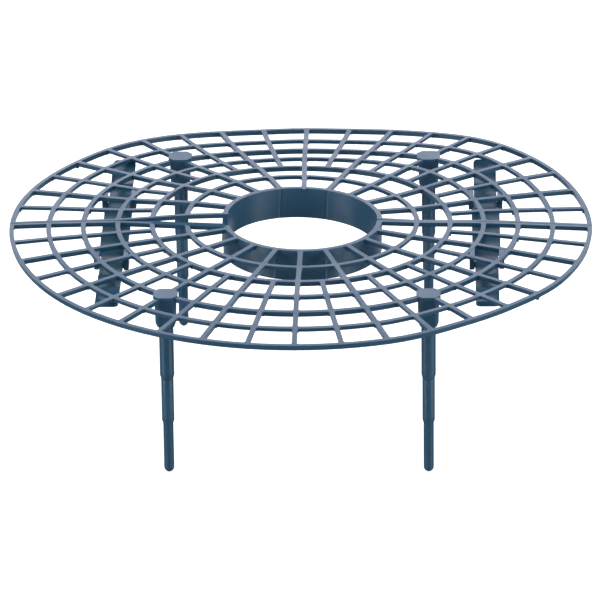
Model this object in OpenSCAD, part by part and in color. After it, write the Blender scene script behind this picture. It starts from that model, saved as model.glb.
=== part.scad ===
// Plant support ring: two half grids, joined by two notched rails, on four plug-in legs.
// Millimetres. +X right, +Y back, +Z up. Origin on the ground, on the axis of the hub.

/* [Grid] */
// Outer diameter of the two halves together
grid_dia = 300; // [296:1:306]
// Height of the hub's top edge above the leg tips
hub_top = 101.2; // [99:0.1:104]
// Fall of the grid for each millimetre of radius
grid_slope = 0.045; // [0.04:0.001:0.048]
// Middle radius of the innermost ring
first_ring = 58.5; // [58:0.1:59]
// Spacing of the five inner rings
ring_pitch = 17.8; // [17.6:0.1:17.9]
// Top width of the three inner rings
inner_ring_width = 2.5; // [2:0.1:3]
// Top width of the two outer rings
outer_ring_width = 2.5; // [2:0.1:2.8]
// Top width of the rim
rim_width = 2.4; // [2:0.1:2.8]
// Depth of the rim and of every second ring
deep_rib = 2.7; // [2.4:0.1:2.9]
// Depth of the rings between
shallow_rib = 2; // [1.5:0.1:2.1]
// Top width of the spokes
spoke_width = 2.6; // [2.1:0.1:2.8]
// Depth of the long spokes
long_spoke_depth = 2.4; // [1.9:0.1:2.4]
// Depth of the short spokes
short_spoke_depth = 1.7; // [1.2:0.1:1.8]
// Slope of the sides of every rib, width lost for each millimetre of depth
rib_draft = 0.16; // [0.05:0.01:0.2]

/* [Moulding pegs] */
// Diameter of the small pegs left under the grid by the mould
peg_dia = 1.9; // [1.4:0.1:2.4]
// Depth to which the two pegs of the back half reach below the grid's surface
peg_depth = 3.3; // [3.2:0.1:6]
// Depth to which the peg under each rim reaches
rim_peg_depth = 3.7; // [3:0.1:4.5]

/* [Joint between the halves] */
// Top width of the bar along each straight edge
edge_bar_width = 2.2; // [2:0.1:2.4]
// Space between the two edge bars
joint_gap = 0.3; // [0.2:0.05:0.6]
// Opening of the left joint at the hub, taken out of the front half
joint_spread = 8; // [0:0.5:9]

/* [Hub collar] */
// Outer radius of the collar
collar_radius = 40.5; // [40:0.1:41]
// Wall of the collar
collar_wall = 2.7; // [2.2:0.1:3]
// Height of the collar
collar_height = 16.5; // [14:0.5:18]
// Radius of the faint upright beads and flutes on the collar
collar_bead = 0.8; // [0.6:0.1:1]

/* [Leg sockets] */
// Width of the square socket block at its top
socket_width = 10.8; // [10.6:0.1:11.6]
// Width of the pad that caps the socket
pad_width = 12.2; // [11.8:0.1:12.6]
// Cut off the upright corners of the block
socket_corner = 1.6; // [1:0.1:2]
// Cut off the corners of the pad
pad_corner = 2.8; // [2:0.1:3.2]
// Height of block and pad together
socket_height = 17; // [16.5:0.1:18]
// Depth of the blind bore
bore_depth = 14.5; // [14:0.1:15]
// Clearance all round the leg in its bore
leg_clearance = 0.05; // [0.03:0.01:0.1]

/* [Legs] */
// Diameter of the thick upper length
leg_dia = 7.3; // [7.1:0.1:7.5]
// Diameter of the middle length
leg_mid_dia = 6.3; // [6:0.1:6.5]
// Diameter of the spigot
spigot_dia = 5.2; // [5:0.1:5.4]
// Height of the upper shoulder above the tip
upper_shoulder = 53; // [50:0.5:56]
// Height of the lower shoulder above the tip
lower_shoulder = 28; // [26:0.5:30]
// Height of the sloping part of each shoulder
shoulder_slope = 1.8; // [1:0.1:2.4]
// Length of the rounded tip
tip_length = 2.6; // [2:0.1:3.4]
// Diameter of the small flat under the tip
tip_flat = 1.6; // [1:0.1:2]
// Radius of the two flutes on the inner side
flute_radius = 1; // [0.8:0.1:1.2]

/* [Rails] */
// Distance of the rail's middle line from the hub axis
rail_x = 95.4; // [95:0.1:95.8]
// Spacing of the notches
notch_pitch = 17; // [16.5:0.1:17]
// Depth of the notches
notch_depth = 1.8; // [1.2:0.1:1.9]
// Flat left on the ridge between two notches
ridge_flat = 0.6; // [0.4:0.1:1.2]
// Thickness of the rail at its ridges
rail_thick = 2.6; // [2.4:0.1:2.6]
// Width of the two ends that run in the guides
rail_width = 11.8; // [11.4:0.1:12]
// Width of the middle, between the shoulders
rail_mid_width = 14.4; // [13.6:0.1:14.8]
// Length of the middle
rail_mid_length = 60; // [50:1:62]
// Radius of the rounded corners of the ends
rail_corner = 2.5; // [1:0.1:4]

/* [Rail guides] */
// Width of the window the rail runs under
window_width = 12.4; // [12.2:0.1:12.8]
// Thickness of the walls on either side
guide_wall = 2.7; // [2.4:0.1:2.9]
// Thickness of the floor under the rail
guide_floor = 1.1; // [0.9:0.1:1.4]
// Length of the floor along the rail
guide_length = 6; // [4:0.5:7]
// Running clearance above and below the rail
rail_clearance = 0.15; // [0.1:0.01:0.2]

/* [Hidden] */
$fn = 96;
notches = 11;
spoke_step = 9;
socket_angle = 54;
ring_proud = 0.06;
rib_sink = 0.1;
pad_proud = 0.35;
pad_thick = 1.6;
rim_radius = grid_dia / 2 - rim_width / 2;
ring_count = 5;
socket_ring = first_ring + 3 * ring_pitch;
edge_y = joint_gap / 2;
slope_angle = atan(grid_slope);
rail_length = notches * notch_pitch;
notch_radius = (pow((notch_pitch - ridge_flat) / 2, 2) + pow(notch_depth, 2)) / (2 * notch_depth);
deepest_rib_z = grid_z(first_ring + 3 * ring_pitch) + ring_proud - deep_rib;
rail_top = deepest_rib_z - 4 * rail_clearance;
rail_bottom = rail_top - rail_thick;
floor_top = rail_bottom - rail_clearance;
pad_top = grid_z(socket_ring) + pad_proud;
socket_bottom = pad_top - socket_height;
leg_top = socket_bottom + bore_depth;
socket_x = socket_ring * cos(socket_angle);
socket_y = socket_ring * sin(socket_angle);

// Height of the grid's surface at a given radius
function grid_z(r) = hub_top - grid_slope * (r - collar_radius);

// Section of a rib, top edge at the origin, narrower below
module rib_section(width, depth) {
    polygon([[-width / 2, 0], [width / 2, 0],
             [width / 2 - rib_draft * depth, -depth], [rib_draft * depth - width / 2, -depth]]);
}

// Half ring with a flat top
module half_ring(radius, width, depth) {
    rotate_extrude(angle = 180)
        translate([radius, grid_z(radius) + ring_proud])
            rib_section(width, depth);
}

// Straight rib that falls with the grid, along +X between two radii
module straight_rib(from, to, width, depth) {
    translate([from, 0, grid_z(from) - rib_sink])
        rotate([0, slope_angle, 0])
            rotate([90, 0, 90])
                linear_extrude((to - from) / cos(slope_angle))
                    rib_section(width, depth);
}

// Rings and rim
module half_rings() {
    for (i = [0 : ring_count - 1])
        half_ring(first_ring + i * ring_pitch,
                  i < 3 ? inner_ring_width : outer_ring_width,
                  i % 2 == 1 ? deep_rib : shallow_rib);
    half_ring(rim_radius, rim_width, deep_rib);
}

// Long spokes from the collar, short ones from the second ring
module half_spokes() {
    for (a = [2 * spoke_step : 2 * spoke_step : 180 - spoke_step])
        rotate(a)
            straight_rib(collar_radius - collar_wall / 2, rim_radius, spoke_width, long_spoke_depth);
    for (a = [spoke_step : 2 * spoke_step : 180])
        rotate(a)
            straight_rib(first_ring + ring_pitch, rim_radius, spoke_width, short_spoke_depth);
}

// Bars along the straight edge; the one on the +X side leans away by the spread
module edge_bars(spread) {
    bar_y = edge_y + edge_bar_width / 2;
    open_end = first_ring + 2 * ring_pitch;
    hub_end = collar_radius - collar_wall / 2;
    lean = atan(spread / (open_end - hub_end));
    translate([0, bar_y, 0])
        mirror([1, 0, 0])
            straight_rib(hub_end, rim_radius, edge_bar_width, long_spoke_depth);
    translate([0, bar_y, 0])
        straight_rib(open_end, rim_radius, edge_bar_width, long_spoke_depth);
    translate([hub_end, bar_y + spread, 0])
        rotate(-lean)
            translate([-hub_end, 0, 0])
                straight_rib(hub_end, hub_end + (open_end - hub_end) / cos(lean),
                             edge_bar_width, long_spoke_depth);
}

// Half collar with its faint upright beads outside and flutes inside
module half_collar() {
    inner = collar_radius - collar_wall;
    difference() {
        union() {
            translate([0, 0, hub_top - collar_height])
                rotate_extrude(angle = 180)
                    translate([inner, 0])
                        square([collar_wall, collar_height]);
            for (a = [36 : 36 : 144])
                rotate(a)
                    translate([collar_radius - collar_bead + 0.25, 0, hub_top - collar_height])
                        cylinder(r = collar_bead, h = collar_height - long_spoke_depth / 2);
        }
        for (a = [72, 108])
            rotate(a)
                translate([inner - collar_bead + 0.3, 0, hub_top - collar_height - 1])
                    cylinder(r = collar_bead, h = collar_height + 2);
    }
}

// Square with its corners cut off
module cut_square(width, corner) {
    h = width / 2;
    c = h - corner;
    polygon([[h, -c], [h, c], [c, h], [-c, h], [-h, c], [-h, -c], [-c, -h], [c, -h]]);
}

// Peg under the grid at a given radius and angle
module peg(radius, angle, depth) {
    rotate(angle)
        translate([radius, 0, grid_z(radius) - depth])
            cylinder(d = peg_dia, h = depth - 1);
}

// Side view of the socket block: slight draft, cut under at the bottom
module socket_side() {
    h = socket_width / 2;
    polygon([[-h, socket_height - 1], [-h + 0.3, 2.6], [-leg_dia / 2 - 0.6, 0],
             [leg_dia / 2 + 0.6, 0], [h - 0.3, 2.6], [h, socket_height - 1]]);
}

// Leg socket without its bore
module socket_block() {
    translate([0, 0, socket_bottom])
        intersection() {
            linear_extrude(socket_height)
                cut_square(socket_width, socket_corner);
            rotate([90, 0, 0])
                linear_extrude(2 * socket_width, center = true)
                    socket_side();
            rotate([90, 0, 90])
                linear_extrude(2 * socket_width, center = true)
                    socket_side();
        }
    translate([0, 0, pad_top - pad_thick])
        linear_extrude(pad_thick)
            cut_square(pad_width, pad_corner);
}

// Blind bore of a leg socket, with a lead-in
module socket_bore() {
    r = leg_dia / 2 + leg_clearance;
    translate([0, 0, socket_bottom - 1])
        cylinder(r = r, h = bore_depth + 1);
    translate([0, 0, socket_bottom - 0.01])
        cylinder(r1 = r + 0.2, r2 = r, h = 0.4);
}

// One wall of a rail guide, kept inside its own cell of the grid
module guide_wall_at(x) {
    top = grid_z(norm([x, 39])) - 0.06;
    intersection() {
        translate([x - guide_wall / 2, 26, floor_top - guide_floor])
            cube([guide_wall, 30, top - floor_top + guide_floor]);
        rotate(2 * spoke_step)
            rotate_extrude(angle = spoke_step)
                translate([first_ring + 2 * ring_pitch, floor_top - guide_floor - 1])
                    square([ring_pitch, 12]);
    }
}

// Guide: two walls and a floor under the rail
module rail_guide() {
    wall_at = (window_width + guide_wall) / 2;
    guide_wall_at(rail_x - wall_at);
    guide_wall_at(rail_x + wall_at);
    translate([rail_x - wall_at, 39 - guide_length / 2, floor_top - guide_floor])
        cube([2 * wall_at, guide_length, guide_floor]);
}

// Back half; the spread opens the joint on its +X side
module half_tray(spread) {
    open_end = first_ring + 2 * ring_pitch;
    hub_end = collar_radius - collar_wall / 2;
    fall = spread / (open_end - hub_end);
    difference() {
        union() {
            half_rings();
            half_spokes();
            difference() {
                half_collar();
                translate([0, edge_y, hub_top - collar_height - 1])
                    linear_extrude(collar_height + 2)
                        polygon([[20, -9], [20, spread + fall * (hub_end - 20)],
                                 [open_end, 0], [open_end, -9]]);
            }
            edge_bars(spread);
            for (s = [-1, 1]) {
                translate([s * socket_x, socket_y, 0])
                    socket_block();
                mirror([s < 0 ? 1 : 0, 0, 0])
                    rail_guide();
            }
            peg(rim_radius - 0.1, 16 * spoke_step, rim_peg_depth);
        }
        translate([-grid_dia, edge_y - 20, hub_top - 50])
            cube([2 * grid_dia, 20, 60]);
        translate([0, edge_y, hub_top - 5])
            linear_extrude(10)
                polygon([[46, -9], [46, spread + fall * (hub_end - 46)],
                         [open_end, 0], [open_end, -9]]);
        for (s = [-1, 1])
            translate([s * socket_x, socket_y, 0])
                socket_bore();
    }
}

// Half outline of a shoulder between two radii
function shoulder(height, below, above) =
    [[below, height - shoulder_slope / 2], [above, height + shoulder_slope / 2]];

// Half outline of a fine groove round the leg
function groove(height, radius) =
    [[radius, height - 0.2], [radius - 0.15, height - 0.1],
     [radius - 0.15, height + 0.1], [radius, height + 0.2]];

// Plug-in leg in three lengths with a round tip, flutes towards -Y
module leg() {
    r = leg_dia / 2;
    mid = leg_mid_dia / 2;
    spigot = spigot_dia / 2;
    difference() {
        rotate_extrude()
            polygon(concat([[0, 0], [tip_flat / 2, 0]],
                           [for (a = [-60 : 15 : 0]) [spigot * cos(a), tip_length * (1 + sin(a))]],
                           shoulder(lower_shoulder, spigot, mid),
                           groove(upper_shoulder - shoulder_slope / 2 - 0.6, mid),
                           shoulder(upper_shoulder, mid, r),
                           [[r, leg_top - 0.5], [r - 0.5, leg_top], [0, leg_top]]));
        for (s = [-1, 1])
            rotate(s * 48)
                translate([0, -r - flute_radius + 0.8, lower_shoulder + 4])
                    cylinder(r = flute_radius, h = socket_bottom - lower_shoulder - 7);
    }
}

// Outline of a rail: wide middle, narrower ends with rounded corners
module rail_outline() {
    w = rail_width / 2 - rail_corner;
    l = rail_length / 2 - rail_corner;
    square([rail_mid_width, rail_mid_length], center = true);
    square([rail_width, 2 * l], center = true);
    square([2 * w, rail_length], center = true);
    for (x = [-w, w], y = [-l, l])
        translate([x, y])
            circle(r = rail_corner);
}

// Notched rail
module rail() {
    difference() {
        translate([0, 0, rail_bottom])
            linear_extrude(rail_thick)
                rail_outline();
        for (i = [0 : notches - 1])
            translate([-rail_mid_width, (i - (notches - 1) / 2) * notch_pitch,
                       rail_top - notch_depth + notch_radius])
                rotate([0, 90, 0])
                    cylinder(r = notch_radius, h = 2 * rail_mid_width, $fn = 240);
    }
}

module back_tray() {
    color([0.27, 0.36, 0.45])
        union() {
            half_tray(0);
            for (a = [8 * spoke_step, 12 * spoke_step])
                peg(first_ring + 2 * ring_pitch, a, peg_depth);
        }
}

module front_tray() {
    color([0.27, 0.36, 0.45])
        rotate(180)
            half_tray(joint_spread);
}

module left_rail() {
    color([0.27, 0.36, 0.45])
        translate([-rail_x, 0, 0])
            rail();
}

module right_rail() {
    color([0.27, 0.36, 0.45])
        translate([rail_x, 0, 0])
            rail();
}

module back_left_leg() {
    color([0.25, 0.34, 0.43])
        translate([-socket_x, socket_y, 0])
            leg();
}

module back_right_leg() {
    color([0.25, 0.34, 0.43])
        translate([socket_x, socket_y, 0])
            leg();
}

module front_left_leg() {
    color([0.25, 0.34, 0.43])
        translate([-socket_x, -socket_y, 0])
            rotate(180)
                leg();
}

module front_right_leg() {
    color([0.25, 0.34, 0.43])
        translate([socket_x, -socket_y, 0])
            rotate(180)
                leg();
}

back_tray();
front_tray();
left_rail();
right_rail();
back_left_leg();
back_right_leg();
front_left_leg();
front_right_leg();
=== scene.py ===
import bmesh
import bpy
from math import atan2, cos, degrees, hypot, radians, sin
from mathutils import Matrix, Vector


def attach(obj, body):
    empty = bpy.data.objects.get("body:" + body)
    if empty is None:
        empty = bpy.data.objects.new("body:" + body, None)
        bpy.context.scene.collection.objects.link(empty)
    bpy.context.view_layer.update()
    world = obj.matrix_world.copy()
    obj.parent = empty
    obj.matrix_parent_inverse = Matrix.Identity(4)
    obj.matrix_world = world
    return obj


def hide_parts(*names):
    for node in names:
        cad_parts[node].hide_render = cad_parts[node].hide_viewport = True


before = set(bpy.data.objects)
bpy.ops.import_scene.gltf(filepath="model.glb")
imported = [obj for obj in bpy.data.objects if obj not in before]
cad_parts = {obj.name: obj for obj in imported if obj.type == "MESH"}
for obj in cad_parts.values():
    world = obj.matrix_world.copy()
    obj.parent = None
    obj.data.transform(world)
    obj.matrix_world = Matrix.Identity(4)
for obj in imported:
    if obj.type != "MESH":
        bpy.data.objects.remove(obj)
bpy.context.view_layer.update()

# ---- The table, the light and the camera -----------------------------------------------------
# A white studio table with a broad panel overhead, a strong one behind the ring and a weak one
# at each side, so that the flat tops of the ribs shine and their sides stay dark.
bpy.ops.object.select_all(action="DESELECT")
bpy.ops.mesh.primitive_plane_add(size=1)
table = bpy.context.object
table.name = "studio_table"
bpy.ops.object.mode_set(mode="EDIT")
bpy.ops.transform.resize(value=(12, 12, 1))
bpy.ops.mesh.subdivide(number_cuts=3)
bpy.ops.object.mode_set(mode="OBJECT")

table_white = bpy.data.materials.new("table_white")
table_white.use_nodes = True
nodes, links = table_white.node_tree.nodes, table_white.node_tree.links
shader = nodes["Principled BSDF"]
shader.inputs["Base Color"].default_value = (0.84, 0.85, 0.86, 1)
shader.inputs["Roughness"].default_value = 0.9
shader.inputs["Specular IOR Level"].default_value = 0.1
shader.inputs["Emission Color"].default_value = (1, 1, 1, 1)
shader.inputs["Emission Strength"].default_value = 0.75
# the camera sees it white, but on the ring it acts as a polished grey sheet, which mirrors the
# panels dimly
grey = nodes.new("ShaderNodeBsdfGlossy")
grey.inputs["Color"].default_value = (0.50, 0.52, 0.55, 1)
grey.inputs["Roughness"].default_value = 0.25
seen = nodes.new("ShaderNodeLightPath")
either = nodes.new("ShaderNodeMixShader")
links.new(seen.outputs["Is Camera Ray"], either.inputs["Fac"])
links.new(grey.outputs["BSDF"], either.inputs[1])
links.new(shader.outputs["BSDF"], either.inputs[2])
links.new(either.outputs["Shader"], nodes["Material Output"].inputs["Surface"])
table.data.materials.append(table_white)

room = bpy.data.worlds.new("studio_room")
bpy.context.scene.world = room
room.use_nodes = True
sky = room.node_tree.nodes["Background"]
sky.inputs["Color"].default_value = (0.93, 0.96, 1, 1)
sky.inputs["Strength"].default_value = 0.22

# the ceiling panel lights the tops but leaves no shine, so that steep faces stay dark
for name, place, turn, size, power, tint in (
        ("ceiling_panel", (0, 0.35, 2.2), (0, 0, 0), (3.2, 2.6), 23, (1, 1, 1)),
        ("back_panel", (0, 2.9, 1.25), (-68, 0, 0), (4.2, 1.9), 53, (0.9, 0.87, 1)),
        ("left_panel", (-1.9, -1.0, 0.7), (90, 0, -62), (1.4, 1.4), 27, (1, 1, 1)),
        ("right_panel", (1.9, -1.0, 0.7), (90, 0, 62), (1.4, 1.4), 27, (1, 1, 1))):
    bpy.ops.object.light_add(type="AREA", location=place, rotation=[radians(t) for t in turn])
    panel = bpy.context.object
    panel.name = name
    panel.data.shape = "RECTANGLE"
    panel.data.size, panel.data.size_y = size
    panel.data.energy = power
    panel.data.color = tint
    panel.visible_glossy = name != "ceiling_panel"

# long lens from the front, 23 degrees above the table and 1.5 degrees round to the right; it
# looks at a point a little under the middle of the hub's top, and is tilted 0.7 degrees
bpy.ops.object.camera_add()
camera = bpy.context.object
camera.name = "studio_camera"
camera.data.lens = 330.74
camera.data.sensor_width = 36
camera.data.clip_end = 50
hub_top = 0.1012
rise, round_by, reach = 0.4013017, 0.0260472, 2.8368
aim_down, aim_aside, tilt = 0.01502, 0.000292, -0.0121154
camera.rotation_euler = (Matrix.Rotation(round_by, 4, "Z")
                         @ Matrix.Rotation(radians(90) - rise - aim_down, 4, "X")
                         @ Matrix.Rotation(aim_aside, 4, "Y")
                         @ Matrix.Rotation(tilt, 4, "Z")).to_euler()
camera.location = (reach * sin(round_by) * cos(rise), -reach * cos(round_by) * cos(rise),
                   hub_top + reach * sin(rise))
bpy.context.scene.camera = camera
bpy.context.scene.view_settings.view_transform = "Standard"

# ---- The two half grids ----------------------------------------------------------------------
# Each half is one injection moulding: six half rings and the spokes between them, flush on
# top and drafted below, with every second ring and every second spoke a little deeper.
collar_r, collar_bore, collar_high = 0.0405, 0.0378, 0.0165
collar_middle = (collar_r + collar_bore) / 2
grid_top = 0.10117      # the grid's top where it leaves the collar
grid_fall = 0.045       # how steeply it falls from there to the rim
ring_middles = [0.0585 + 0.0178 * i for i in range(5)]
ring_half, spoke_half, bar_half = 0.00125, 0.0013, 0.0011
ring_edges = ((0.0392, collar_r), *((r - ring_half, r + ring_half) for r in ring_middles),
              (0.1476, 0.14997))
deep_rings = (2, 4, 6)
short_from = 0.0775     # every second spoke ends at this ring
open_ring = ring_middles[2]     # up to here the left joint can stand open
joint_edge = 0.00015    # each half ends this far from the middle of the joint
corner_cut = 0.0007
socket_ring, socket_angle = ring_middles[3], 54
socket_x = socket_ring * cos(radians(socket_angle))
socket_y = socket_ring * sin(radians(socket_angle))
socket_low, bore_deep = 0.08134, 0.0145


def choose(kind, fits):
    """Selects, in edit mode, what fits by its place and normal, and nothing else."""
    bpy.ops.mesh.select_mode(type=kind)
    bpy.ops.mesh.select_all(action="DESELECT")
    mesh = bmesh.from_edit_mesh(bpy.context.object.data)
    for part in {"VERT": mesh.verts, "EDGE": mesh.edges, "FACE": mesh.faces}[kind]:
        if kind == "VERT":
            place, way = part.co, part.normal
        elif kind == "EDGE":
            place, way = (part.verts[0].co + part.verts[1].co) / 2, None
        else:
            place, way = part.calc_center_median(), part.normal
        if fits(place, way):
            part.select_set(True)
    mesh.select_flush_mode()
    bmesh.update_edit_mesh(bpy.context.object.data)


def fix_order():
    """Puts all that is being edited in one order, so that merging ends the same on each run."""
    cursor = bpy.context.scene.cursor
    cursor.location = (0.31, -0.57, 0.23)   # no two points are equally far from here
    bpy.ops.mesh.select_all(action="SELECT")
    bpy.ops.mesh.sort_elements(type="CURSOR_DISTANCE", elements={"VERT", "EDGE", "FACE"})
    cursor.location = (0, 0, 0)


def to_spoke(place, angle):
    """How far a place lies to the left of the line out of the hub at that angle."""
    a = radians(angle)
    return place.y * cos(a) - place.x * sin(a)


def degrees_of(place):
    """Angle of a place round the hub, counted from the right."""
    return degrees(atan2(place.y, place.x))


def ring_of(place, spare):
    """Number of the ring that a place lies in, or None."""
    r = hypot(place.x, place.y)
    for i, (low, high) in enumerate(ring_edges):
        if low - spare < r < high + spare:
            return i


def grid_z(r):
    """Height of the grid's top at that distance from the middle."""
    return grid_top - grid_fall * max(0, r - collar_r)


def sector_sheet(name):
    """The top of an 18 degree sector as a sheet, with edges where its rings begin and end."""
    bpy.ops.object.select_all(action="DESELECT")
    bpy.ops.mesh.primitive_plane_add(size=0.001)
    sector = bpy.context.object
    sector.name = name
    bpy.ops.object.mode_set(mode="EDIT")
    bpy.ops.mesh.delete(type="VERT")
    bpy.ops.object.mode_set(mode="OBJECT")
    # the part inside the second ring in four steps, the rest in six
    edges = [edge for ring in ring_edges for edge in ring]
    for stations, steps in ((edges[:5], 4), (sorted((*edges[4:], open_ring)), 6)):
        bpy.ops.object.select_all(action="DESELECT")
        r = stations[0]
        bpy.ops.mesh.primitive_plane_add(size=0.001, location=(r, 0, 0))
        part = bpy.context.object
        bpy.ops.object.mode_set(mode="EDIT")
        bpy.ops.mesh.select_mode(type="VERT")
        bpy.ops.mesh.select_all(action="SELECT")
        bpy.ops.mesh.merge(type="CENTER")
        bpy.ops.transform.translate(value=(0, 0, grid_z(r)))
        for to_r in stations[1:]:
            bpy.ops.mesh.extrude_region_move(
                TRANSFORM_OT_translate={"value": (to_r - r, 0, grid_z(to_r) - grid_z(r))})
            r = to_r
        bpy.ops.mesh.select_all(action="SELECT")
        bpy.ops.mesh.spin(steps=steps, angle=-radians(18), center=(0, 0, 0), axis=(0, 0, 1))
        bpy.ops.object.mode_set(mode="OBJECT")
        bpy.ops.object.transform_apply(location=True, rotation=True, scale=True)
        part.select_set(True)
        sector.select_set(True)
        bpy.context.view_layer.objects.active = sector
        bpy.ops.object.join()
    return sector


def grid_sector(name, bar=False, spread=0.0):
    """An 18 degree sector; its first side is half a spoke, or the bar of the straight joint."""
    sector = sector_sheet(name)
    bpy.ops.object.mode_set(mode="EDIT")
    fix_order()
    # the sides of the spokes, then of the joint's bar, cut across the rings
    sides = [(18, -spoke_half, 0), (9, spoke_half, short_from), (9, -spoke_half, short_from)]
    if not bar:
        sides.append((0, spoke_half, 0))
    for angle, off, low in sides:
        a = radians(angle)
        way = Vector((-sin(a), cos(a), 0))
        choose("FACE", lambda p, w: hypot(p.x, p.y) > low)
        bpy.ops.mesh.bisect(plane_co=way * off, plane_no=way)
    lean = Vector((spread, open_ring - collar_middle, 0)).normalized()
    straight = Vector((0, 1, 0))
    middle = Vector((open_ring, joint_edge + bar_half, 0))
    if bar:
        for way, outside in ((lean, False), (straight, True)):
            for side in (1, -1):
                choose("FACE", lambda p, w: (hypot(p.x, p.y) > open_ring) == outside)
                bpy.ops.mesh.bisect(plane_co=middle + way * bar_half * side, plane_no=way)

    def first_side(p):
        """How far a place lies inside the cells from the first spoke's or the bar's edge."""
        if not bar:
            return p.y - spoke_half
        way = lean if hypot(p.x, p.y) < open_ring else straight
        return (Vector((p.x, p.y, 0)) - middle).dot(way) - bar_half

    def between_spokes(p):
        """How far a place lies inside the cells from the nearest spoke's edge."""
        gap = min(first_side(p), -to_spoke(p, 18) - spoke_half)
        if hypot(p.x, p.y) > short_from:
            gap = min(gap, abs(to_spoke(p, 9)) - spoke_half)
        return gap

    # the cells fall out, and what lies beyond the bar
    choose("FACE", lambda p, w: ring_of(p, 0) is None and between_spokes(p) > 0
           or bar and first_side(p) < -2 * bar_half)
    bpy.ops.mesh.delete(type="FACE")
    fix_order()
    bpy.ops.mesh.remove_doubles(threshold=0.00005)
    choose("FACE", lambda p, w: w.z < 0)
    bpy.ops.mesh.flip_normals()
    # small fillets in the corners of every cell
    cell_ends = [edge for ring in ring_edges for edge in ring][1:-1]
    choose("VERT", lambda p, w: abs(between_spokes(p)) < 0.00004
           and min(abs(hypot(p.x, p.y) - end) for end in cell_ends) < 0.00012)
    bpy.ops.mesh.bevel(offset=0.0003 if spread else corner_cut, segments=1, affect="VERTICES")
    # a short land, then the drafted depth of the short spokes, then the three deeper levels
    bpy.ops.mesh.select_all(action="SELECT")
    bpy.ops.mesh.extrude_region_move(TRANSFORM_OT_translate={"value": (0, 0, -0.0003)})
    bpy.ops.mesh.select_all(action="SELECT")
    bpy.ops.mesh.normals_make_consistent(inside=False)
    choose("FACE", lambda p, w: abs(w.z) < 0.5 and (
        abs(to_spoke(p, 18)) < 0.00002 or not bar and abs(p.y) < 0.00002))
    bpy.ops.mesh.delete(type="FACE")
    choose("FACE", lambda p, w: w.z < -0.5)
    bpy.ops.mesh.inset(thickness=0.00024, depth=0.0014, use_boundary=False)

    def is_deep(p):
        return ring_of(p, 0.0003) in deep_rings

    def is_long(p):
        return -to_spoke(p, 18) < spoke_half + 0.0003 or first_side(p) < 0.0003

    choose("FACE", lambda p, w: w.z < -0.9 and (ring_of(p, 0.0003) is not None or is_long(p)))
    bpy.ops.mesh.inset(thickness=0.00005, depth=0.0003, use_boundary=False)
    choose("FACE", lambda p, w: w.z < -0.9 and (is_deep(p) or is_long(p)))
    bpy.ops.mesh.inset(thickness=0.00006, depth=0.0004, use_boundary=False)
    choose("FACE", lambda p, w: w.z < -0.9 and is_deep(p)
           and p.z < grid_z(hypot(p.x, p.y)) - 0.0022)
    bpy.ops.mesh.inset(thickness=0.00005, depth=0.0003, use_boundary=False)
    if spread:
        # the free end of the bar is twisted: its outer edge rises towards the hub
        for up_to in (0.0925, 0.0770, 0.0595):
            choose("VERT", lambda p, w: first_side(p) < -0.0015 and hypot(p.x, p.y) < up_to)
            bpy.ops.transform.translate(value=(0, 0, 0.0003))
    bpy.ops.object.mode_set(mode="OBJECT")
    return sector


def only(*pieces):
    """Selects these pieces alone; the first one is the active one."""
    bpy.ops.object.select_all(action="DESELECT")
    for piece in pieces:
        piece.select_set(True)
    bpy.context.view_layer.objects.active = pieces[0]


def soften(piece, width, limit=35, smooth=30):
    """Rounds the sharp edges of a finished piece and shades it smooth."""
    only(piece)
    edges = piece.modifiers.new("edges", "BEVEL")
    edges.width = width
    edges.segments = 2
    edges.limit_method = "ANGLE"
    edges.angle_limit = radians(limit)
    edges.use_clamp_overlap = False
    bpy.ops.object.modifier_apply(modifier="edges")
    bpy.ops.object.shade_smooth_by_angle(angle=radians(smooth))


def keep_flat(piece):
    """Shades the flat faces flat, up to the small rounding of their edges."""
    only(piece)
    flats = piece.modifiers.new("flats", "WEIGHTED_NORMAL")
    flats.keep_sharp = True
    bpy.ops.object.modifier_apply(modifier="flats")


def half_grid(name, spread=0.0):
    """The grid of one half: eight like sectors and one at each end of the straight edge."""
    grid = grid_sector(name)
    only(grid)
    bpy.ops.object.mode_set(mode="EDIT")
    bpy.ops.mesh.select_all(action="SELECT")
    bpy.ops.mesh.spin(steps=8, dupli=True, angle=-radians(144), center=(0, 0, 0), axis=(0, 0, 1))
    choose("FACE", lambda p, w: atan2(p.y, p.x) < radians(18))
    bpy.ops.mesh.delete(type="FACE")
    bpy.ops.object.mode_set(mode="OBJECT")
    first = grid_sector(name + "_first", bar=True, spread=spread)
    last = grid_sector(name + "_last", bar=True)
    only(last)
    bpy.ops.object.mode_set(mode="EDIT")
    bpy.ops.mesh.select_all(action="SELECT")
    bpy.ops.transform.resize(value=(-1, 1, 1), center_override=(0, 0, 0))
    bpy.ops.mesh.flip_normals()
    bpy.ops.object.mode_set(mode="OBJECT")
    only(grid, first, last)
    bpy.ops.object.join()
    bpy.ops.object.mode_set(mode="EDIT")
    fix_order()
    bpy.ops.mesh.remove_doubles(threshold=0.00002)
    bpy.ops.object.mode_set(mode="OBJECT")
    return grid


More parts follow.
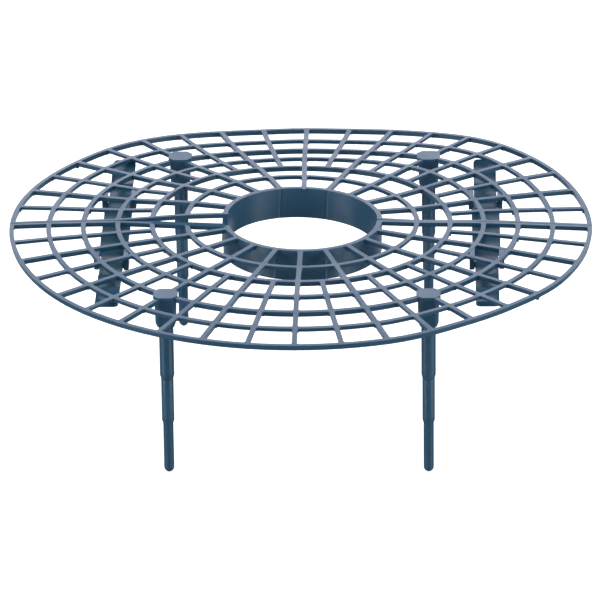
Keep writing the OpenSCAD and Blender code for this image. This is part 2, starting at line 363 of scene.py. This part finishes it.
def half_collar(name, spread=0.0):
    """The half collar round the stems, with faint upright beads outside and flutes inside."""
    bpy.ops.mesh.primitive_plane_add(
        size=1, location=(collar_middle, 0, hub_top - collar_high / 2),
        rotation=(radians(90), 0, 0))
    collar = bpy.context.object
    collar.name = name
    bpy.ops.transform.resize(value=(collar_r - collar_bore, 1, collar_high),
                             orient_type="GLOBAL")
    bpy.ops.object.transform_apply(location=True, rotation=True, scale=True)
    bpy.ops.object.mode_set(mode="EDIT")
    bpy.ops.mesh.select_all(action="SELECT")
    bpy.ops.mesh.spin(steps=180, angle=-radians(180), center=(0, 0, 0), axis=(0, 0, 1))
    choose("FACE", lambda p, w: abs(p.y) < 0.00001)
    bpy.ops.mesh.delete(type="FACE")
    bpy.ops.mesh.select_all(action="SELECT")
    bead_top = hub_top - 0.0012
    bpy.ops.mesh.bisect(plane_co=(0, 0, bead_top), plane_no=(0, 0, 1))
    bpy.ops.mesh.select_all(action="SELECT")
    bpy.ops.mesh.normals_make_consistent(inside=False)
    beads = [(angle, collar_r, 0.00025) for angle in (36, 72, 108, 144)]
    flutes = [(angle, collar_bore, 0.0003) for angle in (72, 108)]
    for angle, wall, push in beads + flutes:
        a = radians(angle)
        choose("VERT", lambda p, w: abs(hypot(p.x, p.y) - wall) < 0.0004
               and abs(to_spoke(p, angle)) < 0.0001 and p.x * cos(a) + p.y * sin(a) > 0
               and (p.z < bead_top + 0.0001 or wall == collar_bore))
        bpy.ops.transform.translate(value=(push * cos(a), push * sin(a), 0))
    bpy.ops.mesh.select_all(action="SELECT")
    bpy.ops.mesh.bisect(plane_co=(0, joint_edge, 0), plane_no=(0, 1, 0), clear_inner=True,
                        use_fill=True)
    if spread:
        slope = spread / (open_ring - collar_middle)
        choose("FACE", lambda p, w: p.x > 0.015)
        bpy.ops.mesh.bisect(plane_co=(open_ring, 0, 0), plane_no=(slope, 1, 0),
                            clear_inner=True, use_fill=True)
    bpy.ops.object.mode_set(mode="OBJECT")
    return collar


def leg_socket(name, x, y):
    """A square socket under the crossing of a ring and a spoke, with its pad and its bore."""
    block_low, block_high, block_width = socket_low + 0.0026, 0.0134, 0.0108
    block_middle = block_low + block_high / 2
    bpy.ops.mesh.primitive_cube_add(size=1, location=(x, y, block_middle))
    block = bpy.context.object
    block.name = name
    block.scale = (block_width, block_width, block_high)
    bpy.ops.object.transform_apply(location=True, rotation=True, scale=True)
    bpy.ops.object.mode_set(mode="EDIT")
    choose("EDGE", lambda p, w: abs(p.z - block_middle) < 0.0001)
    bpy.ops.mesh.bevel(offset=0.0016, segments=1, affect="EDGES")
    # the block narrows a little downwards, and its lower end is drawn in
    choose("FACE", lambda p, w: w.z < -0.9)
    bpy.ops.transform.resize(value=(0.944, 0.944, 1), center_override=(x, y, block_low))
    bpy.ops.mesh.extrude_region_move(
        TRANSFORM_OT_translate={"value": (0, 0, socket_low - block_low)})
    bpy.ops.transform.resize(value=(0.833, 0.833, 1), center_override=(x, y, socket_low))
    bpy.ops.object.mode_set(mode="OBJECT")
    open_end = 0.001
    bpy.ops.mesh.primitive_cylinder_add(
        vertices=40, radius=0.0037, depth=bore_deep + open_end,
        location=(x, y, socket_low + (bore_deep - open_end) / 2))
    bore = bpy.context.object
    only(block)
    hollow = block.modifiers.new("bore", "BOOLEAN")
    hollow.object = bore
    hollow.operation = "DIFFERENCE"
    hollow.solver = "EXACT"
    bpy.ops.object.modifier_apply(modifier="bore")
    bpy.data.objects.remove(bore)
    pad_middle, pad_width, pad_high = 0.09754, 0.0122, 0.0016
    bpy.ops.mesh.primitive_cube_add(size=1, location=(x, y, pad_middle))
    pad = bpy.context.object
    pad.scale = (pad_width, pad_width, pad_high)
    bpy.ops.object.transform_apply(location=True, rotation=True, scale=True)
    bpy.ops.object.mode_set(mode="EDIT")
    choose("EDGE", lambda p, w: abs(p.z - pad_middle) < 0.0001)
    bpy.ops.mesh.bevel(offset=0.0028, segments=1, affect="EDGES")
    bpy.ops.object.mode_set(mode="OBJECT")
    only(block, pad)
    bpy.ops.object.join()
    return block


def rail_guide(name, side):
    """Two walls and a floor that hold a rail under the grid."""
    shells = []
    # inner wall, outer wall and floor, each from corner to corner
    for (low_x, low_y, low_z), (high_x, high_y, high_z) in (
            ((0.0865, 0.0340, 0.0909), (0.0892, 0.0446, 0.09862)),
            ((0.1016, 0.0336, 0.0909), (0.1043, 0.0437, 0.0980)),
            ((0.0879, 0.0360, 0.0909), (0.1029, 0.0420, 0.0920))):
        bpy.ops.mesh.primitive_cube_add(
            size=1, location=(side * (low_x + high_x) / 2, (low_y + high_y) / 2,
                              (low_z + high_z) / 2))
        shell = bpy.context.object
        shells.append(shell)
        shell.scale = (high_x - low_x, high_y - low_y, high_z - low_z)
        bpy.ops.object.transform_apply(location=True, rotation=True, scale=True)
        bpy.ops.object.mode_set(mode="EDIT")
        # a wall narrows a little downwards, the thin floor doesn't
        choose("FACE", lambda p, w: w.z < -0.9)
        bpy.ops.transform.resize(value=(0.94 if high_z - low_z > 0.002 else 1, 1, 1))
        bpy.ops.object.mode_set(mode="OBJECT")
    only(*shells)
    bpy.ops.object.join()
    bpy.context.object.name = name
    return bpy.context.object


def mould_peg(name, r, angle, deep):
    """A small round peg that the mould leaves under a crossing of the grid."""
    top, low = grid_z(r) - 0.001, grid_z(r) - deep
    bpy.ops.mesh.primitive_cylinder_add(
        vertices=20, radius=0.00095, depth=top - low,
        location=(r * cos(radians(angle)), r * sin(radians(angle)), (top + low) / 2))
    bpy.context.object.name = name
    bpy.ops.object.transform_apply(location=True, rotation=True, scale=True)
    return bpy.context.object


def half_moulding(name, spread=0.0, pegs=(), bends=()):
    """One half in one piece, in the place of the back half."""
    half = half_grid(name, spread)
    soften(half, 0.00013, limit=50, smooth=50)
    rim_peg = (0.1487, 144, 0.0037)
    for r, angle, deep in (rim_peg, *pegs):
        peg = mould_peg(name + "_peg", r, angle, deep)
        soften(peg, 0.0002)
        only(half, peg)
        bpy.ops.object.join()
    # the thin grid is a little bent between its legs: a stretch of the rim is pulled up or down
    # and the grid follows it, less and less with the distance
    bpy.ops.object.mode_set(mode="EDIT")
    for low, high, lift, radius in bends:
        choose("VERT", lambda p, w: hypot(p.x, p.y) > 0.147
               and low <= degrees_of(p) <= high)
        bpy.ops.transform.translate(value=(0, 0, lift), use_proportional_edit=True,
                                    proportional_edit_falloff="SMOOTH",
                                    proportional_size=radius)
    bpy.ops.object.mode_set(mode="OBJECT")
    parts = [half_collar(name + "_collar", spread)]
    soften(parts[0], 0.00025, limit=50)
    if not spread:
        # what is left of the sprue, on the inner edge of the collar
        bpy.ops.mesh.primitive_cone_add(vertices=16, radius1=0.0004, radius2=0.0011,
                                        depth=0.0012, location=(0, 0.0377, 0.10064))
        parts.append(bpy.context.object)
        bpy.ops.object.transform_apply(location=True, rotation=True, scale=True)
        soften(parts[-1], 0.0001)
    for side in (-1, 1):
        for shell in (leg_socket(name + "_socket", side * socket_x, socket_y),
                      rail_guide(name + "_guide", side)):
            soften(shell, 0.0002)
            parts.append(shell)
    only(half, *parts)
    bpy.ops.object.join()
    return half


def settle_hub(half, tip, nod, lift):
    """Tips the half collar, with the inner rings, and spreads it to the right."""
    only(half)
    bpy.ops.object.mode_set(mode="EDIT")
    choose("VERT", lambda p, w: hypot(p.x, p.y) < collar_r + 0.0007)
    soft = {"use_proportional_edit": True, "proportional_edit_falloff": "SMOOTH",
            "proportional_size": 0.06}
    hub_middle = 0.093
    for axis, turn in (("Y", tip), ("X", nod)):
        bpy.ops.transform.rotate(value=radians(turn), orient_axis=axis,
                                 center_override=(0, 0, hub_middle), **soft)
    bpy.ops.transform.resize(value=(1.016, 1, 1), center_override=(-collar_r, 0, hub_middle),
                             **soft)
    bpy.ops.transform.translate(value=(0, 0, lift), **soft)
    bpy.ops.object.mode_set(mode="OBJECT")
    keep_flat(half)


back_half = half_moulding("back_half_grid",
                          pegs=((open_ring, 72, 0.0033), (open_ring, 108, 0.0033)),
                          bends=((87, 98, -0.0063, 0.104), (31, 41, 0.0020, 0.075),
                                 (176, 181, 0.0017, 0.100)))
settle_hub(back_half, -2.2, 0, 0.0002)
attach(back_half, "back_half")
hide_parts("back_tray")

front_half = half_moulding("front_half_grid", spread=0.008,
                           bends=((-1, 4, 0.0017, 0.100), (126, 136, 0.0015, 0.045)))
bpy.ops.object.mode_set(mode="EDIT")
bpy.ops.mesh.select_all(action="SELECT")
bpy.ops.transform.rotate(value=radians(180), orient_axis="Z", center_override=(0, 0, 0))
bpy.ops.object.mode_set(mode="OBJECT")
settle_hub(front_half, -0.6, -0.7, -0.0010)
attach(front_half, "front_half")
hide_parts("front_tray")

# ---- The two rails ---------------------------------------------------------------------------
# Each rail is a moulded strip with eleven hollow notches along its top. It slides through the
# guides of both halves and holds them together.
rails = []
for node in ("left_rail", "right_rail"):
    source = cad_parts[node]
    rail = bpy.data.objects.new(node + "_strip", source.data.copy())
    bpy.context.scene.collection.objects.link(rail)
    only(rail)
    bpy.ops.object.mode_set(mode="EDIT")
    bpy.ops.mesh.select_all(action="SELECT")
    bpy.ops.mesh.remove_doubles(threshold=0.000002)
    bpy.ops.mesh.dissolve_limited(angle_limit=radians(0.5))
    bpy.ops.object.mode_set(mode="OBJECT")
    soften(rail, 0.0002)
    keep_flat(rail)
    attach(rail, "rails")
    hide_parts(node)
    rails.append(rail)

# ---- The four legs ---------------------------------------------------------------------------
# A leg is a moulded pin in three lengths, thick, middle and thin, with a round tip, a fine
# groove under the upper shoulder and two flutes along its inner side. It plugs in from below.
thin, medium, thick = 0.0026, 0.00315, 0.00365
leg_top = socket_low + bore_deep
round_tip = [(thin * cos(radians(t)), thin * (1 + sin(radians(t)))) for t in range(-60, 1, 15)]
leg_outline = ((0.0008, 0), *round_tip,
               (thin, 0.0271), (medium, 0.0289), (medium, 0.0318), (medium, 0.0326),
               (medium, 0.0513), (0.0030, 0.0514), (0.0030, 0.0516), (medium, 0.0517),
               (medium, 0.0521), (thick, 0.0539), (thick, 0.0546), (thick, 0.0774),
               (thick, 0.0784), (thick, leg_top - 0.0005), (medium, leg_top))
bpy.ops.object.select_all(action="DESELECT")
bpy.ops.mesh.primitive_plane_add(size=0.001)
leg_model = bpy.context.object
bpy.ops.object.mode_set(mode="EDIT")
bpy.ops.mesh.select_mode(type="VERT")
bpy.ops.mesh.select_all(action="SELECT")
bpy.ops.mesh.merge(type="CENTER")
r, z = 0, 0
for to_r, to_z in leg_outline:
    bpy.ops.mesh.extrude_region_move(
        TRANSFORM_OT_translate={"value": (to_r - r, 0, to_z - z)})
    r, z = to_r, to_z
bpy.ops.mesh.extrude_region_move(TRANSFORM_OT_translate={"value": (-r, 0, 0)})
bpy.ops.mesh.select_all(action="SELECT")
bpy.ops.mesh.spin(steps=48, angle=radians(360), center=(0, 0, 0), axis=(0, 0, 1))
bpy.ops.mesh.select_all(action="SELECT")
bpy.ops.mesh.remove_doubles(threshold=0.000002)
bpy.ops.mesh.normals_make_consistent(inside=False)
# a flute is three rows of points wide, and shallower in the medium length of the leg
for flute in (-135, -45):
    for angle, share in ((flute, 1), (flute - 7.5, 0.75), (flute + 7.5, 0.75)):
        a = radians(angle)
        for low, high, depth in ((0.0322, 0.0535, 0.0003), (0.0535, 0.0780, 0.0007)):
            choose("VERT", lambda p, w: low < p.z < high
                   and abs(to_spoke(p, angle)) < 0.00003
                   and p.x * cos(a) + p.y * sin(a) > 0.0005)
            bpy.ops.transform.translate(
                value=(-share * depth * cos(a), -share * depth * sin(a), 0))
bpy.ops.object.mode_set(mode="OBJECT")
soften(leg_model, 0.00015, limit=40, smooth=40)

legs = []
for node, side, back in (("back_left_leg", -1, 1), ("back_right_leg", 1, 1),
                         ("front_left_leg", -1, -1), ("front_right_leg", 1, -1)):
    leg = bpy.data.objects.new(node + "_pin", leg_model.data.copy())
    bpy.context.scene.collection.objects.link(leg)
    only(leg)
    bpy.ops.object.mode_set(mode="EDIT")
    bpy.ops.mesh.select_all(action="SELECT")
    if back < 0:
        bpy.ops.transform.rotate(value=radians(180), orient_axis="Z", center_override=(0, 0, 0))
    bpy.ops.transform.translate(value=(side * socket_x, back * socket_y, 0))
    bpy.ops.object.mode_set(mode="OBJECT")
    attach(leg, node + "_body")
    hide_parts(node)
    legs.append(leg)
bpy.data.objects.remove(leg_model)

# ---- The plastic -----------------------------------------------------------------------------
# All pieces are moulded in slate blue plastic with a fine spark-eroded mould texture. The rails
# get a copy that is a little duller; its greener tone is painted shade of the grid above them.


def moulded_finish():
    """The finish of all pieces: cloudy colour, satin patches and the fine pitting of the mould."""
    group = bpy.data.node_groups.new("moulded_finish", "ShaderNodeTree")
    for title, way, kind in (("Tone", "INPUT", "Color"), ("Pale Tone", "INPUT", "Color"),
                             ("Cloud Scale", "INPUT", "Float"), ("Satin", "INPUT", "Float"),
                             ("Grain Scale", "INPUT", "Float"), ("Grain Depth", "INPUT", "Float"),
                             ("Colour", "OUTPUT", "Color"), ("Roughness", "OUTPUT", "Float"),
                             ("Normal", "OUTPUT", "Vector")):
        group.interface.new_socket(title, in_out=way, socket_type="NodeSocket" + kind)
    nodes, links = group.nodes, group.links
    given = nodes.new("NodeGroupInput")
    out = nodes.new("NodeGroupOutput")
    place = nodes.new("ShaderNodeTexCoord")

    clouds = nodes.new("ShaderNodeTexNoise")
    clouds.inputs["Detail"].default_value = 4
    clouds.inputs["Roughness"].default_value = 0.6
    links.new(place.outputs["Object"], clouds.inputs["Vector"])
    links.new(given.outputs["Cloud Scale"], clouds.inputs["Scale"])
    spread_out = nodes.new("ShaderNodeMapRange")
    spread_out.inputs["From Min"].default_value = 0.34
    spread_out.inputs["From Max"].default_value = 0.68
    links.new(clouds.outputs["Fac"], spread_out.inputs["Value"])
    tint = nodes.new("ShaderNodeMix")
    tint.data_type = "RGBA"
    links.new(spread_out.outputs["Result"], tint.inputs["Factor"])
    links.new(given.outputs["Tone"], tint.inputs["A"])
    links.new(given.outputs["Pale Tone"], tint.inputs["B"])
    links.new(tint.outputs["Result"], out.inputs["Colour"])

    grain = nodes.new("ShaderNodeTexNoise")
    grain.inputs["Detail"].default_value = 3
    grain.inputs["Roughness"].default_value = 0.65
    links.new(place.outputs["Object"], grain.inputs["Vector"])
    links.new(given.outputs["Grain Scale"], grain.inputs["Scale"])
    patches = nodes.new("ShaderNodeMath")
    patches.operation = "MULTIPLY_ADD"
    patches.inputs[1].default_value = 0.12
    links.new(spread_out.outputs["Result"], patches.inputs[0])
    links.new(given.outputs["Satin"], patches.inputs[2])
    fine = nodes.new("ShaderNodeMath")
    fine.operation = "MULTIPLY_ADD"
    fine.inputs[1].default_value = 0.1
    links.new(grain.outputs["Fac"], fine.inputs[0])
    links.new(patches.outputs["Value"], fine.inputs[2])
    links.new(fine.outputs["Value"], out.inputs["Roughness"])

    pits = nodes.new("ShaderNodeBump")
    pits.inputs["Distance"].default_value = 0.00006
    links.new(given.outputs["Grain Depth"], pits.inputs["Strength"])
    links.new(grain.outputs["Fac"], pits.inputs["Height"])
    links.new(pits.outputs["Normal"], out.inputs["Normal"])
    return group


finish = moulded_finish()


def plastic(name, tone, pale, clouds, satin, shine, grain, depth):
    """A moulded plastic with its own tone, shine and grain."""
    material = bpy.data.materials.new(name)
    material.use_nodes = True
    nodes, links = material.node_tree.nodes, material.node_tree.links
    shader = nodes["Principled BSDF"]
    shader.inputs["IOR"].default_value = 1.5
    shader.inputs["Specular IOR Level"].default_value = shine
    use = nodes.new("ShaderNodeGroup")
    use.node_tree = finish
    use.inputs["Tone"].default_value = (*tone, 1)
    use.inputs["Pale Tone"].default_value = (*pale, 1)
    use.inputs["Cloud Scale"].default_value = clouds
    use.inputs["Satin"].default_value = satin
    use.inputs["Grain Scale"].default_value = grain
    use.inputs["Grain Depth"].default_value = depth
    links.new(use.outputs["Colour"], shader.inputs["Base Color"])
    links.new(use.outputs["Roughness"], shader.inputs["Roughness"])
    links.new(use.outputs["Normal"], shader.inputs["Normal"])
    return material


grid_plastic = plastic("grid_plastic", (0.025, 0.091, 0.163), (0.034, 0.107, 0.185),
                       45, 0.28, 0.5, 1400, 0.35)
# the rails' copy of the plastic: a little less shine, and a greener tone that is painted shade of
# the grid over them
rail_plastic = plastic("rail_plastic", (0.020, 0.092, 0.158), (0.030, 0.108, 0.180),
                       70, 0.24, 0.26, 1400, 0.4)
leg_plastic = plastic("leg_plastic", (0.023, 0.086, 0.153), (0.033, 0.104, 0.179),
                      80, 0.28, 0.5, 1600, 0.3)
for pieces, material in (((back_half, front_half), grid_plastic), (rails, rail_plastic),
                         (legs, leg_plastic)):
    for piece in pieces:
        piece.data.materials.clear()
        piece.data.materials.append(material)

bpy.context.view_layer.update()
